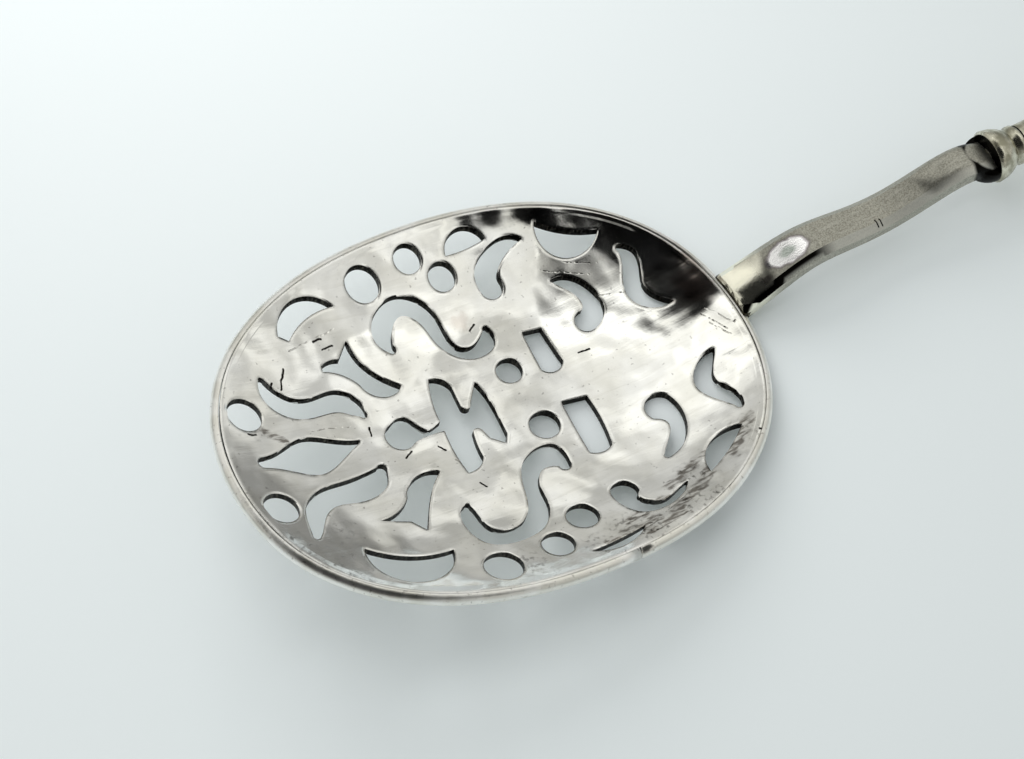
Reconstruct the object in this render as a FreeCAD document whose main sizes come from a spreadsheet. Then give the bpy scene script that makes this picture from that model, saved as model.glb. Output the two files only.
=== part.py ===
# Mote spoon: a pierced oval bowl with an applied rim wire, on a slender stem in two
# lengths that meet at a turned collar and end in a barbed point.
# Each piece is drawn with the rim of the bowl in the XY plane, the oval centred on the
# origin and the stem towards +X, or along the shaft of the stem. Two placements then lay
# the whole spoon down as it rests: on the outside of its bowl and the end of its stem.

import FreeCAD, Part
import math
import os
import Sketcher
from FreeCAD import Placement, Rotation, Vector

UP = Vector(0, 0, 1)

# Sizes in millimetres and degrees, except the powers and the ratio, which have no unit.
SIZES = (
    ("bowl_half_length", 16.0),
    ("bowl_half_width", 12.0),
    ("oval_power", 2.25),
    ("oval_egg", 0.032),
    ("bowl_depth", 3.25),
    ("bowl_power", 2.42),
    ("bowl_wall", 0.48),
    ("rim_land", 0.42),
    ("wire_reach", 0.45),
    ("wire_height", 0.9),
    ("wire_rise", 0.08),
    ("seam_turn", -79.5),
    ("seam_gap", 0.11),
    ("seat_gap", 0.02),
    ("solder_film", 0.12),
    ("cut_margin", 1.5),
    ("root_lap", 0.32),
    ("rest_tilt", 12.5),
    ("rest_wear", 0.07),
    ("stem_offset", 0.6),
    ("top_chamfer", 0.42),
    ("under_chamfer", 0.15),
    ("stem_end_width", 2.2),
    ("stem_end_thickness", 1.3),
    ("stem_end_drop", 0.12),
    ("swell_radius", 1.52),
    ("swell_thickness", 1.0),
    ("collar_reach", 17.15),
    ("collar_height", 5.64),
    ("collar_radius", 1.66),
    ("collar_length", 1.45),
    ("collar_lip", 0.14),
    ("collar_fall", 0.45),
    ("tenon_radius", 0.62),
    ("tenon_length", 5.2),
    ("reel_radius", 1.24),
    ("reel_waist", 1.05),
    ("reel_length", 0.85),
    ("reel_round", 0.2),
    ("shaft_length", 71.0),
    ("shaft_radius", 1.15),
    ("shaft_end_radius", 0.85),
    ("knop_radius", 1.15),
    ("knop_length", 1.6),
    ("spigot_radius", 0.45),
    ("spigot_length", 2.4),
    ("neck_radius", 0.8),
    ("neck_end_radius", 0.56),
    ("neck_length", 3.4),
    ("barb_half_width", 2.5),
    ("barb_sweep", 1.3),
    ("spear_length", 12.5),
    ("spear_belly", 1.65),
    ("spear_flank", 2.8),
    ("spear_half_thickness", 1.25),
    ("spear_tip", 0.22),
)

# Stations of the lower stem: reach past the end of the bowl and height above the rim of
# its centre line, as shares of the collar's, then its width and its thickness there, as
# shares of those at its end.
STEM_STATIONS = (
    (-0.012, -0.062, 1.455, 0.92),
    (0.099, 0.186, 1.34, 0.96),
    (0.181, 0.369, 1.27, 0.98),
    (0.268, 0.507, 1.2, 0.98),
    (0.391, 0.567, 1.13, 0.97),
    (0.612, 0.688, 1.05, 0.97),
)

# The pattern of the bowl is set out on a grid of squares, counted from the middle of the
# oval: so many to its tip and so many to its side.
SQUARES_TO_TIP = 16
SQUARES_TO_SIDE = 12

# Round holes: place on the grid and diameter in millimetres.
DRILLED = (
    (-13.7, 4.2, 2.0),
    (-14.35, -1.9, 2.0),
    (-3.5, 10.0, 2.1),
    (-0.25, 10.6, 1.7),
    (1.4, 9.1, 1.7),
    (2.7, 2.55, 1.6),
    (2.85, -1.5, 1.85),
    (1.25, -8.2, 1.85),
    (-1.15, -9.45, 1.85),
    (-4.75, -9.6, 2.2),
)

# Sawn scrolls: stations along the middle of each, with the width of the cut there, all
# in squares of the grid.
SCROLLS = (
    ((4.05, 7.65, 1.45), (4.15, 8.6, 1.4), (5.0, 9.3, 1.15), (6.1, 9.62, 0.75), (6.88, 9.5, 0.12)),
    ((12.1, 6.65, 0.45), (12.4, 5.8, 1.0), (12.05, 4.8, 1.1), (11.85, 3.85, 1.15), (12.4, 2.8, 0.85),
     (13.35, 2.22, 0.12)),
    ((7.6, 6.65, 0.15), (8.4, 6.2, 0.8), (9.1, 5.2, 1.0), (9.2, 4.25, 1.25), (8.45, 3.6, 1.45)),
    ((-3.3, 6.1, 0.5), (-3.5, 7.1, 1.2), (-1.95, 8.35, 1.2), (-0.5, 7.3, 1.15), (-0.2, 5.9, 0.9),
     (0.4, 4.75, 0.65), (1.4, 4.4, 0.85), (2.4, 4.8, 1.0), (2.6, 5.5, 0.35)),
    ((-11.8, 6.1, 0.3), (-11.55, 4.95, 1.15), (-10.6, 4.15, 1.3), (-9.2, 4.0, 1.2), (-7.8, 4.0, 1.4),
     (-7.0, 3.3, 1.05), (-6.75, 2.85, 0.45)),
    ((-13.9, 1.15, 0.7), (-12.5, 1.1, 1.5), (-11.0, 1.05, 2.5), (-9.3, 1.15, 1.4), (-7.85, 1.3, 0.2)),
    ((-7.4, -0.75, 0.6), (-8.3, -1.45, 1.5), (-9.9, -1.7, 1.55), (-11.3, -1.75, 1.35),
     (-12.45, -2.45, 1.2), (-13.0, -3.5, 0.8), (-13.3, -4.1, 0.45)),
    ((7.85, -6.65, 0.4), (8.9, -5.95, 0.9), (9.6, -4.9, 1.0), (9.35, -3.5, 1.85)),
    ((13.75, -1.8, 0.15), (12.95, -2.35, 0.9), (12.3, -3.4, 1.2), (12.6, -4.4, 1.1), (12.95, -5.2, 0.9),
     (13.0, -5.8, 0.5)),
    ((4.3, -7.75, 1.6), (4.2, -8.5, 1.2), (4.6, -9.25, 1.0), (5.75, -9.65, 0.5), (6.8, -9.35, 0.4),
     (7.5, -8.97, 0.12)),
    ((2.5, -4.4, 0.75), (2.05, -3.45, 1.6), (0.8, -3.7, 1.2), (0.0, -4.95, 0.95), (-0.35, -6.2, 1.15),
     (-1.25, -7.35, 1.2), (-2.55, -7.72, 1.1), (-4.0, -7.25, 1.25), (-4.4, -6.0, 1.1),
     (-4.25, -5.1, 0.85), (-4.05, -4.7, 0.3)),
    ((-5.35, 0.9, 1.8), (-4.3, 0.78, 1.05), (-3.8, 0.6, 0.45), (-3.2, 0.62, 0.45), (-2.5, 0.7, 0.75)),
)

# Sawn shapes, each a ring of sides that share their end points. Two points make a
# straight side, three an arc and more a smooth curve.
SHAPES = (
    (((-5.7, 9.25), (-8.0, 10.05), (-9.7, 8.3)),
     ((-9.7, 8.3), (-9.15, 7.95)),
     ((-9.15, 7.95), (-7.56, 8.96), (-5.7, 9.25))),
    (((2.1, 10.1), (3.39, 11.32), (4.8, 10.25)),
     ((4.8, 10.25), (3.45, 10.08), (2.1, 10.1))),
    (((8.0, 10.1), (9.6, 8.95), (11.4, 8.15)),
     ((11.4, 8.15), (8.81, 7.57), (8.0, 10.1))),
    (((-5.77, 7.3), (-6.65, 6.4)),
     ((-6.65, 6.4), (-7.25, 6.45), (-7.85, 6.25)),
     ((-7.85, 6.25), (-7.9, 5.9)),
     ((-7.9, 5.9), (-6.85, 5.45), (-6.1, 4.6)),
     ((-6.1, 4.6), (-5.2, 3.57), (-4.1, 3.6)),
     ((-4.1, 3.6), (-3.75, 3.9)),
     ((-3.75, 3.9), (-4.93, 5.06), (-5.5, 5.97), (-5.77, 7.3))),
    (((-4.3, -2.0), (-5.3, -1.75), (-6.4, -2.2), (-7.0, -3.05)),
     ((-7.0, -3.05), (-8.0, -3.75), (-9.25, -4.0)),
     ((-9.25, -4.0), (-7.6, -4.6)),
     ((-7.6, -4.6), (-7.05, -5.45)),
     ((-7.05, -5.45), (-6.1, -4.0), (-5.3, -2.9), (-4.3, -2.0))),
    (((-11.15, -5.6), (-9.0, -6.92), (-6.5, -7.3)),
     ((-6.5, -7.3), (-9.72, -8.89), (-11.15, -5.6))),
    (((-2.7, 1.04), (-2.55, 2.2), (-2.05, 3.75)),
     ((-2.05, 3.75), (-1.2, 3.25), (-1.0, 2.85)),
     ((-1.0, 2.85), (-1.08, 1.5)),
     ((-1.08, 1.5), (-0.85, 1.2), (-0.5, 1.4)),
     ((-0.5, 1.4), (0.45, 2.65)),
     ((0.45, 2.65), (0.7, 1.25), (0.66, 0.0), (0.56, -1.15)),
     ((0.56, -1.15), (0.2, -1.7)),
     ((0.2, -1.7), (-0.5, -1.05)),
     ((-0.5, -1.05), (-0.66, -0.4)),
     ((-0.66, -0.4), (-0.91, -0.16), (-1.2, -0.23)),
     ((-1.2, -0.23), (-1.41, -1.1), (-1.5, -2.05)),
     ((-1.5, -2.05), (-1.8, -2.4), (-2.65, -2.7)),
     ((-2.65, -2.7), (-2.83, -2.7)),
     ((-2.83, -2.7), (-2.9, -1.2), (-2.75, 0.34)),
     ((-2.75, 0.34), (-2.7, 1.04))),
    (((4.55, 4.5), (5.75, 4.3)),
     ((5.75, 4.3), (5.95, 1.9)),
     ((5.95, 1.9), (5.35, 1.45), (4.5, 1.85)),
     ((4.5, 1.85), (4.55, 4.5))),
    (((4.5, -0.5), (6.05, -0.8)),
     ((6.05, -0.8), (6.05, -2.3), (5.65, -4.35)),
     ((5.65, -4.35), (4.9, -4.6), (4.2, -4.3)),
     ((4.2, -4.3), (4.5, -0.5))),
    (((12.3, -7.1), (10.14, -7.22), (9.0, -9.05)),
     ((9.0, -9.05), (10.73, -8.21), (12.3, -7.1))),
    (((0.1, -10.8), (1.9, -10.75), (3.7, -10.55)),
     ((3.7, -10.55), (1.9, -11.3), (0.1, -10.8))),
)

document = FreeCAD.newDocument("MoteSpoon")


# The sheets: driving sizes, then the values that follow from them.

def fill_sheet(sheet_name, rows):
    sheet = document.addObject("Spreadsheet::Sheet", sheet_name)
    for number, (name, value) in enumerate(rows, start=1):
        sheet.set(f"A{number}", name)
        sheet.set(f"B{number}", str(value))
        sheet.setAlias(f"B{number}", name)
    document.recompute()
    return sheet


def hole_rows():
    for number, (_, _, diameter) in enumerate(DRILLED, start=1):
        yield f"hole_{number}_diameter", diameter


spoon = fill_sheet("Spoon", (*SIZES, *hole_rows()))

# The bowl touches the table where its outside is as steep as the spoon is tilted. The
# shaft of the stem falls from the collar until the spear lies on the table too.
follow = fill_sheet("Follow", (
    ("contact_reach", "=Spoon.bowl_half_length * (Spoon.bowl_half_length * tan(Spoon.rest_tilt * 1deg)"
     " / (Spoon.bowl_depth * Spoon.bowl_power)) ^ (1 / (Spoon.bowl_power - 1))"),
    ("contact_depth", "=Spoon.bowl_wall + Spoon.bowl_depth"
     " * (1 - (contact_reach / Spoon.bowl_half_length) ^ Spoon.bowl_power)"),
    ("rest_lift", "=contact_reach * sin(Spoon.rest_tilt * 1deg)"
     " + contact_depth * cos(Spoon.rest_tilt * 1deg) - Spoon.rest_wear"),
    ("collar_from_middle", "=Spoon.bowl_half_length + Spoon.collar_reach"),
    ("shaft_lift", "=rest_lift - collar_from_middle * sin(Spoon.rest_tilt * 1deg)"
     " + Spoon.collar_height * cos(Spoon.rest_tilt * 1deg)"),
    ("shaft_start", "=Spoon.collar_length + Spoon.reel_length"),
    ("shaft_end", "=shaft_start + Spoon.shaft_length"),
    ("spear_start", "=shaft_end + Spoon.neck_length"),
    ("shaft_fall", "=(asin(shaft_lift / sqrt(spear_start ^ 2 + Spoon.spear_half_thickness ^ 2))"
     " - atan(Spoon.spear_half_thickness / spear_start)) / 1deg"),
    ("middle_shift", "0"),
    ("shaft_from_middle", "=collar_from_middle * cos(Spoon.rest_tilt * 1deg)"
     " + Spoon.collar_height * sin(Spoon.rest_tilt * 1deg) + middle_shift"),
))


def size(name):
    return float(getattr(spoon, name))


def lay_down(piece):
    """Lays a piece that is drawn on the rim plane down with the bowl."""
    piece.Placement = Placement(Vector(), Rotation(Vector(0, 1, 0), 0))
    piece.setExpression("Placement.Rotation.Angle", "Spoon.rest_tilt")
    piece.setExpression("Placement.Base.x", "Follow.middle_shift")
    piece.setExpression("Placement.Base.z", "Follow.rest_lift")


def thread_on_shaft(piece):
    """Puts a piece that is drawn along the shaft, from the collar's face, in its place."""
    piece.Placement = Placement(Vector(), Rotation(Vector(0, 1, 0), 0))
    piece.setExpression("Placement.Rotation.Angle", "Follow.shaft_fall")
    piece.setExpression("Placement.Base.x", "Follow.shaft_from_middle")
    piece.setExpression("Placement.Base.y", "Spoon.stem_offset")
    piece.setExpression("Placement.Base.z", "Follow.shaft_lift")


def drawn(name, shape):
    """A feature whose shape is worked out here, because no standard feature draws it."""
    feature = document.addObject("Part::Feature", name)
    feature.Shape = shape
    return feature


def combined(kind, name, **links):
    feature = document.addObject(kind, name)
    for link, value in links.items():
        setattr(feature, link, value)
    return feature


# The rim oval and the hollow of the bowl.

OVAL_SPANS = 12
OVAL_STEPS = 8
HEADING_STEP = math.radians(0.5)
SURFACE_ROWS = 11
SURFACE_COLUMNS = 9


def half_width_at(x):
    return size("bowl_half_width") * (1 + size("oval_egg") * x / size("bowl_half_length"))


def oval_share(x, y):
    """Share of the way from the middle of the oval to its edge: 1 on the edge."""
    power = size("oval_power")
    along = abs(x) / size("bowl_half_length")
    across = abs(y) / half_width_at(x)
    return (along ** power + across ** power) ** (1 / power)


def oval_point(turn):
    """Point of the oval seen from its middle at an angle, found by closing in on the edge."""
    point = Vector(math.cos(turn), math.sin(turn), 0) * size("bowl_half_width")
    for _ in range(OVAL_STEPS):
        point = point / oval_share(point.x, point.y)
    return point


def oval_heading(turn):
    """Direction of the oval's edge at an angle, anticlockwise."""
    return (oval_point(turn + HEADING_STEP) - oval_point(turn - HEADING_STEP)).normalize()


def bent_arc(start, heading, end, offset):
    """Arc that leaves a point along a heading and ends at another, widened by an offset."""
    chord = end - start
    inward = Vector(-heading.y, heading.x, 0)
    radius = chord.dot(chord) / (2 * inward.dot(chord))
    centre = start + inward * radius
    wider = (radius + offset) / radius
    first = (start - centre) * wider
    last = (end - centre) * wider
    middle = (first + last).normalize() * (radius + offset)
    return Part.Arc(centre + first, centre + middle, centre + last)


def oval_wire(offset, height, start_turn=0, sweep=2 * math.pi):
    """The oval as a smooth chain of arcs, moved outwards by an offset, at a height."""
    arcs = []
    for number in range(OVAL_SPANS):
        turns = [start_turn + sweep * (number + share) / OVAL_SPANS for share in (0, 1)]
        start, end = [oval_point(turn) for turn in turns]
        leave, arrive = [oval_heading(turn) for turn in turns]
        chord = end - start
        both = chord.dot(leave + arrive)
        bend = 2 * (1 - leave.dot(arrive))
        reach = (math.sqrt(both ** 2 + bend * chord.dot(chord)) - both) / bend
        joint = (start + leave * reach + end - arrive * reach) / 2
        passing = (end - arrive * reach - start - leave * reach).normalize()
        arcs.append(bent_arc(start, leave, joint, offset))
        arcs.append(bent_arc(joint, passing, end, offset))
    wire = Part.Wire([arc.toShape() for arc in arcs])
    wire.translate(UP * height)
    return wire


def oval_prism(offset, bottom, top):
    return Part.Face(oval_wire(offset, bottom)).extrude(UP * (top - bottom))


def spread(reach, count):
    return [reach * (2 * number / (count - 1) - 1) for number in range(count)]


def floor_depth():
    """How far below the rim the tools that cut the bowl start."""
    return size("bowl_depth") + size("bowl_wall") + size("cut_margin")


def above_hollow(drop):
    """Everything above the hollow of the bowl, or above the same surface lower down."""
    rows = []
    margin = size("cut_margin")
    for x in spread(size("bowl_half_length") + margin, SURFACE_ROWS):
        row = []
        for y in spread(size("bowl_half_width") + margin, SURFACE_COLUMNS):
            level = size("bowl_depth") * (oval_share(x, y) ** size("bowl_power") - 1)
            row.append(Vector(x, y, level - drop))
        rows.append(row)
    surface = Part.BSplineSurface()
    surface.interpolate(rows)
    return surface.toShape().extrude(UP * (floor_depth() + drop + margin))


def bowl_blank():
    """The raised bowl before it is pierced, with the land that is left at its rim."""
    body = oval_prism(0, -floor_depth(), 0).common(above_hollow(size("bowl_wall")))
    top = size("cut_margin")
    hollow = oval_prism(-size("rim_land"), -floor_depth(), top).common(above_hollow(0))
    return body.cut(hollow)


# The piercing.

def on_grid(x, y):
    return Vector(x * size("bowl_half_length") / SQUARES_TO_TIP,
                  y * size("bowl_half_width") / SQUARES_TO_SIDE, 0)


def side(points):
    if len(points) == 2:
        return Part.LineSegment(*points).toShape()
    if len(points) == 3:
        return Part.Arc(*points).toShape()
    curve = Part.BSplineCurve()
    curve.interpolate(points)
    return curve.toShape()


def shape_outline(sides):
    return Part.Wire([side([on_grid(*point) for point in points]) for points in sides])


def scroll_outline(stations):
    """Both sides of a scroll, and a round end half as deep as the cut is wide there."""
    half_square = size("bowl_half_length") / SQUARES_TO_TIP / 2
    points = [on_grid(x, y) for x, y, _ in stations]
    spine = Part.BSplineCurve()
    spine.interpolate(points)
    lefts = []
    rights = []
    for point, (_, _, width) in zip(points, stations):
        ahead = spine.tangent(spine.parameter(point))[0]
        leftward = Vector(-ahead.y, ahead.x, 0) * (width * half_square)
        lefts.append(point + leftward)
        rights.append(point - leftward)
    start_end = points[0] - spine.tangent(spine.FirstParameter)[0] * (stations[0][2] * half_square)
    far_end = points[-1] + spine.tangent(spine.LastParameter)[0] * (stations[-1][2] * half_square)
    return Part.Wire([
        side(lefts),
        Part.Arc(lefts[-1], far_end, rights[-1]).toShape(),
        side(rights[::-1]),
        Part.Arc(rights[0], start_end, lefts[0]).toShape(),
    ])


def saw_cuts():
    """Prisms that saw the pattern straight down through the bowl."""
    outlines = [scroll_outline(stations) for stations in SCROLLS]
    outlines += [shape_outline(sides) for sides in SHAPES]
    prisms = []
    for outline in outlines:
        outline.translate(UP * -floor_depth())
        prisms.append(Part.Face(outline).extrude(UP * (floor_depth() + size("cut_margin"))))
    return prisms[0].multiFuse(prisms[1:])


def drills():
    cylinders = []
    for number, (x, y, _) in enumerate(DRILLED, start=1):
        cylinder = document.addObject("Part::Cylinder", f"Drill{number}")
        cylinder.setExpression("Radius", f"Spoon.hole_{number}_diameter / 2")
        cylinder.setExpression("Height", "Spoon.bowl_depth + Spoon.bowl_wall + 2 * Spoon.cut_margin")
        cylinder.setExpression("Placement.Base.x", f"Spoon.bowl_half_length * {x} / {SQUARES_TO_TIP}")
        cylinder.setExpression("Placement.Base.y", f"Spoon.bowl_half_width * {y} / {SQUARES_TO_SIDE}")
        cylinder.setExpression("Placement.Base.z", "-(Spoon.bowl_depth + Spoon.bowl_wall + Spoon.cut_margin)")
        cylinders.append(cylinder)
    return combined("Part::MultiFuse", "Drills", Shapes=cylinders)


def table_slab():
    """The block above which the worn bowl stays, its top in the plane of the table."""
    slab = document.addObject("Part::Box", "TableSlab")
    slab.setExpression("Length", "Spoon.bowl_half_length")
    slab.setExpression("Width", "Spoon.bowl_half_length")
    slab.setExpression("Height", "Spoon.cut_margin")
    slab.Placement = Placement(Vector(), Rotation(Vector(0, 1, 0), 0))
    slab.setExpression("Placement.Rotation.Angle", "-Spoon.rest_tilt")
    top_corner = "(Follow.contact_reach - Spoon.bowl_half_length / 2)"
    slab.setExpression("Placement.Base.x", f"{top_corner} + Spoon.cut_margin * sin(Spoon.rest_tilt * 1deg)")
    slab.setExpression("Placement.Base.y", "-Spoon.bowl_half_length / 2")
    slab.setExpression("Placement.Base.z", f"{top_corner} * tan(Spoon.rest_tilt * 1deg)"
                       " - Follow.rest_lift / cos(Spoon.rest_tilt * 1deg)"
                       " - Spoon.cut_margin * cos(Spoon.rest_tilt * 1deg)")
    return slab


def make_bowl():
    blank = drawn("RaisedBowl", bowl_blank())
    sawn = combined("Part::Cut", "SawnBowl", Base=blank, Tool=drawn("SawCuts", saw_cuts()))
    pierced = combined("Part::Cut", "PiercedBowl", Base=sawn, Tool=drills())
    bowl = combined("Part::Cut", "Bowl", Base=pierced, Tool=table_slab())
    lay_down(bowl)
    return bowl


# The rim wire, half round, bent round the outside of the wall and butted at its seam.

def bent_wire():
    """The wire from one side of its seam round to the other, flat towards the wall."""
    half_seam = math.asin(size("seam_gap") / 2 / size("bowl_half_width"))
    start_turn = math.radians(size("seam_turn")) + half_seam
    path = oval_wire(size("seat_gap"), 0, start_turn, 2 * (math.pi - half_seam))
    start = path.Edges[0].valueAt(path.Edges[0].FirstParameter)
    heading = path.Edges[0].tangentAt(path.Edges[0].FirstParameter)
    outward = Vector(heading.y, -heading.x, 0)
    top = start + UP * size("wire_rise")
    bottom = top - UP * size("wire_height")
    crown = (top + bottom) / 2 + outward * size("wire_reach")
    section = Part.Wire([Part.LineSegment(bottom, top).toShape(), Part.Arc(top, crown, bottom).toShape()])
    return path.makePipe(Part.Face(section))


def make_rim_wire():
    wire = drawn("RimWire", bent_wire())
    lay_down(wire)
    return wire


# The lower stem: a forged bar with bevelled edges, scarfed onto the rim wire, that swells
# to a flattened ball where it meets the collar.

def shaft_rise():
    """Angle of the shaft above the rim plane."""
    return math.radians(size("rest_tilt") - float(follow.shaft_fall))


def collar_centre():
    return Vector(float(follow.collar_from_middle), size("stem_offset"), size("collar_height"))


def shaft_way():
    return Vector(math.cos(shaft_rise()), 0, math.sin(shaft_rise()))


def shaft_up():
    return Vector(-math.sin(shaft_rise()), 0, math.cos(shaft_rise()))


def bar_section(centre, ahead, width, thickness):
    outward = Vector(0, 1, 0)
    upward = Vector(-ahead.z, 0, ahead.x)
    right = width / 2
    top = thickness / 2
    bevel = size("top_chamfer")
    under = size("under_chamfer")
    corners = (
        (right, under - top), (right, top - bevel), (right - bevel, top), (bevel - right, top),
        (-right, top - bevel), (-right, under - top), (under - right, -top), (right - under, -top),
    )
    points = [centre + outward * across + upward * up for across, up in corners]
    return Part.makePolygon([*points, points[0]])


def shoulder_centre():
    """Middle of the bar's end, a little below the shaft's axis."""
    return collar_centre() + shaft_up() * -size("stem_end_drop")


def stem_bar():
    """The bar, lofted through its stations to the collar's face."""
    width = size("stem_end_width")
    thickness = size("stem_end_thickness")
    sections = []
    for reach, height, wider, thicker in STEM_STATIONS:
        centre = Vector(size("bowl_half_length") + reach * size("collar_reach"),
                        size("stem_offset"), height * size("collar_height"))
        sections.append((centre, wider * width, thicker * thickness))
    spine = Part.BSplineCurve()
    spine.interpolate([centre for centre, _, _ in sections] + [shoulder_centre()])
    wires = []
    for centre, wide, thick in sections:
        ahead = spine.tangent(spine.parameter(centre))[0]
        wires.append(bar_section(centre, ahead, wide, thick))
    wires.append(bar_section(shoulder_centre(), shaft_way(), width, thickness))
    return Part.makeLoft(wires, True, False)


def rim_envelope(gap):
    """What the root of the stem is cut back from: the rim and, above it, all but the lap."""
    wire_edge = size("seat_gap") + size("wire_reach")
    low = -2 * size("wire_height")
    beside = oval_prism(wire_edge + gap, low, size("wire_rise") + gap)
    return beside.fuse(oval_prism(wire_edge - size("root_lap"), low, size("bowl_depth")))


def make_root_solder(bar):
    film = bar.cut(rim_envelope(size("seat_gap")))
    outer = rim_envelope(size("seat_gap") + size("solder_film"))
    solder = drawn("RootSolder", film.common(outer))
    lay_down(solder)
    return solder


def make_swell():
    """Half a ball before the collar's face, with flats above and below."""
    ball = document.addObject("Part::Sphere", "SwellBall")
    ball.setExpression("Radius", "Spoon.swell_radius")
    ball.Placement.Base = collar_centre()
    slab = document.addObject("Part::Box", "SwellSlab")
    slab.setExpression("Length", "Spoon.swell_radius")
    slab.setExpression("Width", "Spoon.swell_radius * 2")
    slab.setExpression("Height", "Spoon.swell_thickness")
    corner = Vector(-size("swell_radius"), -size("swell_radius"), -size("swell_thickness") / 2)
    turn = Rotation(Vector(0, 1, 0), -math.degrees(shaft_rise()))
    slab.Placement = Placement(shoulder_centre() + turn.multVec(corner), turn)
    return combined("Part::Common", "Swell", Base=ball, Tool=slab)


def make_lower_stem(bar):
    seated = drawn("StemBar", bar.cut(rim_envelope(2 * size("seat_gap") + size("solder_film"))))
    tenon = document.addObject("Part::Cylinder", "Tenon")
    tenon.setExpression("Radius", "Spoon.tenon_radius")
    tenon.setExpression("Height", "Spoon.tenon_length")
    tenon.Placement = Placement(collar_centre(), Rotation(UP, shaft_way()))
    stem = combined("Part::MultiFuse", "LowerStem", Shapes=[seated, make_swell(), tenon])
    lay_down(stem)
    return stem


# Turned pieces, each a profile of corners (distance along the shaft, radius) spun round
# the shaft. The corners are expressions of the sheets' values.

def profile_sketch(body, plane_role, corners):
    sketch = body.newObject("Sketcher::SketchObject", f"{body.Name}Profile")
    plane = next(item for item in body.Origin.OriginFeatures if item.Role == plane_role)
    sketch.AttachmentSupport = [(plane, "")]
    sketch.MapMode = "FlatFace"
    places = []
    for across, up in corners:
        places.append(Vector(float(sketch.evalExpression(across)), float(sketch.evalExpression(up)), 0))
    count = len(places)
    for number in range(count):
        sketch.addGeometry(Part.LineSegment(places[number], places[(number + 1) % count]), False)
    for number in range(count):
        sketch.addConstraint(Sketcher.Constraint("Coincident", number, 2, (number + 1) % count, 1))
    for number, corner in enumerate(corners):
        for kind, expression, value in zip(("DistanceX", "DistanceY"), corner, places[number]):
            index = sketch.addConstraint(Sketcher.Constraint(kind, -1, 1, number, 1, value))
            sketch.setExpression(f"Constraints[{index}]", expression)
    return sketch


def turned_piece(name, corners):
    body = document.addObject("PartDesign::Body", name)
    sketch = profile_sketch(body, "XZ_Plane", corners)
    turning = body.newObject("PartDesign::Revolution", f"{name}Turning")
    turning.Profile = sketch
    turning.ReferenceAxis = (sketch, ["H_Axis"])
    turning.Angle = 360
    thread_on_shaft(body)
    return body


def make_collar_ring():
    """The ring that the lower stem shoulders into: a lip in front, falling to the reel."""
    bore = "Spoon.tenon_radius + Spoon.seat_gap"
    return turned_piece("CollarRing", (
        ("Spoon.seat_gap", bore),
        ("Spoon.seat_gap", "Spoon.collar_radius - Spoon.collar_lip"),
        ("Spoon.seat_gap + Spoon.collar_lip", "Spoon.collar_radius"),
        ("Spoon.collar_length / 2", "Spoon.collar_radius - Spoon.collar_fall / 6"),
        ("Spoon.collar_length * 3 / 4", "Spoon.collar_radius - Spoon.collar_fall / 2"),
        ("Spoon.collar_length", "Spoon.collar_radius - Spoon.collar_fall"),
        ("Spoon.collar_length", bore),
    ))


def make_reel_ring():
    """The smaller ring behind the collar, waisted towards it."""
    bore = "Spoon.tenon_radius + Spoon.seat_gap"
    return turned_piece("ReelRing", (
        ("Spoon.collar_length", bore),
        ("Spoon.collar_length", "Spoon.reel_waist"),
        ("Spoon.collar_length + Spoon.reel_round", "Spoon.reel_waist"),
        ("Spoon.collar_length + Spoon.reel_round * 2", "Spoon.reel_radius"),
        ("Follow.shaft_start - Spoon.reel_round", "Spoon.reel_radius"),
        ("Follow.shaft_start", "Spoon.reel_waist"),
        ("Follow.shaft_start", bore),
    ))


def make_upper_stem():
    """The long tapering length: a socket for the tenon, a knop and a socket for the spear."""
    socket = "Spoon.tenon_radius + Spoon.seat_gap"
    hole = "Spoon.spigot_radius + Spoon.seat_gap"
    knop = "Follow.shaft_end - Spoon.knop_length"
    return turned_piece("UpperStem", (
        ("Follow.shaft_start", socket),
        ("Follow.shaft_start", "Spoon.shaft_radius"),
        (knop, "Spoon.shaft_end_radius"),
        (f"{knop} + Spoon.knop_length / 3", "Spoon.knop_radius"),
        (f"{knop} + Spoon.knop_length * 2 / 3", "Spoon.knop_radius"),
        ("Follow.shaft_end", "Spoon.shaft_end_radius"),
        ("Follow.shaft_end", hole),
        ("Follow.shaft_end - Spoon.spigot_length - Spoon.seat_gap", hole),
        ("Follow.shaft_end - Spoon.spigot_length - Spoon.seat_gap", "0"),
        ("Spoon.tenon_length + Spoon.seat_gap", "0"),
        ("Spoon.tenon_length + Spoon.seat_gap", socket),
    ))


# The finial: a spear with swept barbs and a diamond section, on a neck and a spigot.

def ring_of(*points):
    return Part.Face(Part.makePolygon([*points, points[0]]))


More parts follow.
